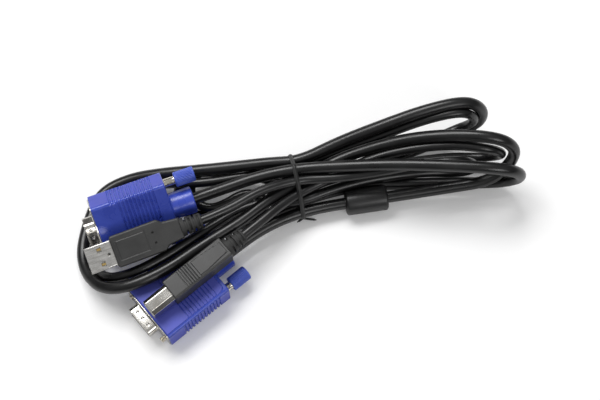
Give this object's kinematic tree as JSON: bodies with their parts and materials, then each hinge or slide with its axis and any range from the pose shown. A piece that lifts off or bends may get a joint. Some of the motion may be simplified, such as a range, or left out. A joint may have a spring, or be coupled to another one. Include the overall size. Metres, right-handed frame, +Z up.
{
  "type": "kvm cable",
  "caption": "Folded computer-switch lead: a video cord with D-shaped thumbscrew plugs and a data cord with a flat and a square plug, held by a twist tie.",
  "frame": {"origin": "on the table under the middle of the whole hank", "axes": "+Z up from the table, +X along the hank from the plugs to the loops, +Y away from the viewer"},
  "size_m": [0.21, 0.1108, 0.0416],
  "materials": {
    "blue_hood": "satin moulded blue",
    "blue_knob": "satin moulded blue",
    "blue_insulator": "matte",
    "nickel": "nickel plated",
    "steel": "nickel plated",
    "gold": "gold flash",
    "white_tongue": "matte",
    "black_core": "matte",
    "grey_grip": "fine spark-textured moulding",
    "black_sleeve": "satin",
    "ferrite": "sintered",
    "black_jacket": "satin jacket",
    "black_tie": "satin"
  },
  "bodies": {
    "cable": {"video_plug_1_hood": "blue_hood", "video_plug_1_shell": "nickel", "video_plug_1_insulator": "blue_insulator", "video_plug_1_pins": "gold", "video_plug_2_hood": "blue_hood", "video_plug_2_shell": "nickel", "video_plug_2_insulator": "blue_insulator", "video_plug_2_pins": "gold", "flat_plug_shell": "nickel", "flat_plug_tongue": "white_tongue", "flat_plug_contacts": "gold", "flat_plug_grip": "grey_grip", "square_plug_shell": "nickel", "square_plug_core": "black_core", "square_plug_contacts": "gold", "square_plug_grip": "grey_grip", "ferrite_sleeve": "black_sleeve", "ferrite_core": "ferrite", "video_cord": "black_jacket", "data_cord": "black_jacket", "twist_tie": "black_tie"},
    "video_plug_1_thumbscrew_a": {"video_plug_1_screw_a": "steel", "video_plug_1_knob_a": "blue_knob"},
    "video_plug_1_thumbscrew_b": {"video_plug_1_screw_b": "steel", "video_plug_1_knob_b": "blue_knob"},
    "video_plug_2_thumbscrew_a": {"video_plug_2_screw_a": "steel", "video_plug_2_knob_a": "blue_knob"},
    "video_plug_2_thumbscrew_b": {"video_plug_2_screw_b": "steel", "video_plug_2_knob_b": "blue_knob"}
  },
  "joints": [
    {"name": "video_plug_1_thumbscrew_a_turn", "type": "hinge", "parent": "cable", "child": "video_plug_1_thumbscrew_a", "pos_m": [-0.05695, -0.00102, 0.00848], "axis": [-0.9373, -0.3486, 0], "continuous": true},
    {"name": "video_plug_1_thumbscrew_b_turn", "type": "hinge", "parent": "cable", "child": "video_plug_1_thumbscrew_b", "pos_m": [-0.06284, 0.01482, 0.02692], "axis": [-0.9373, -0.3486, 0], "continuous": true},
    {"name": "video_plug_2_thumbscrew_a_turn", "type": "hinge", "parent": "cable", "child": "video_plug_2_thumbscrew_a", "pos_m": [-0.05059, -0.01063, 0.0075], "axis": [-0.7627, -0.6468, 0], "continuous": true},
    {"name": "video_plug_2_thumbscrew_b_turn", "type": "hinge", "parent": "cable", "child": "video_plug_2_thumbscrew_b", "pos_m": [-0.03442, -0.0297, 0.0075], "axis": [-0.7627, -0.6468, 0], "continuous": true}
  ]
}
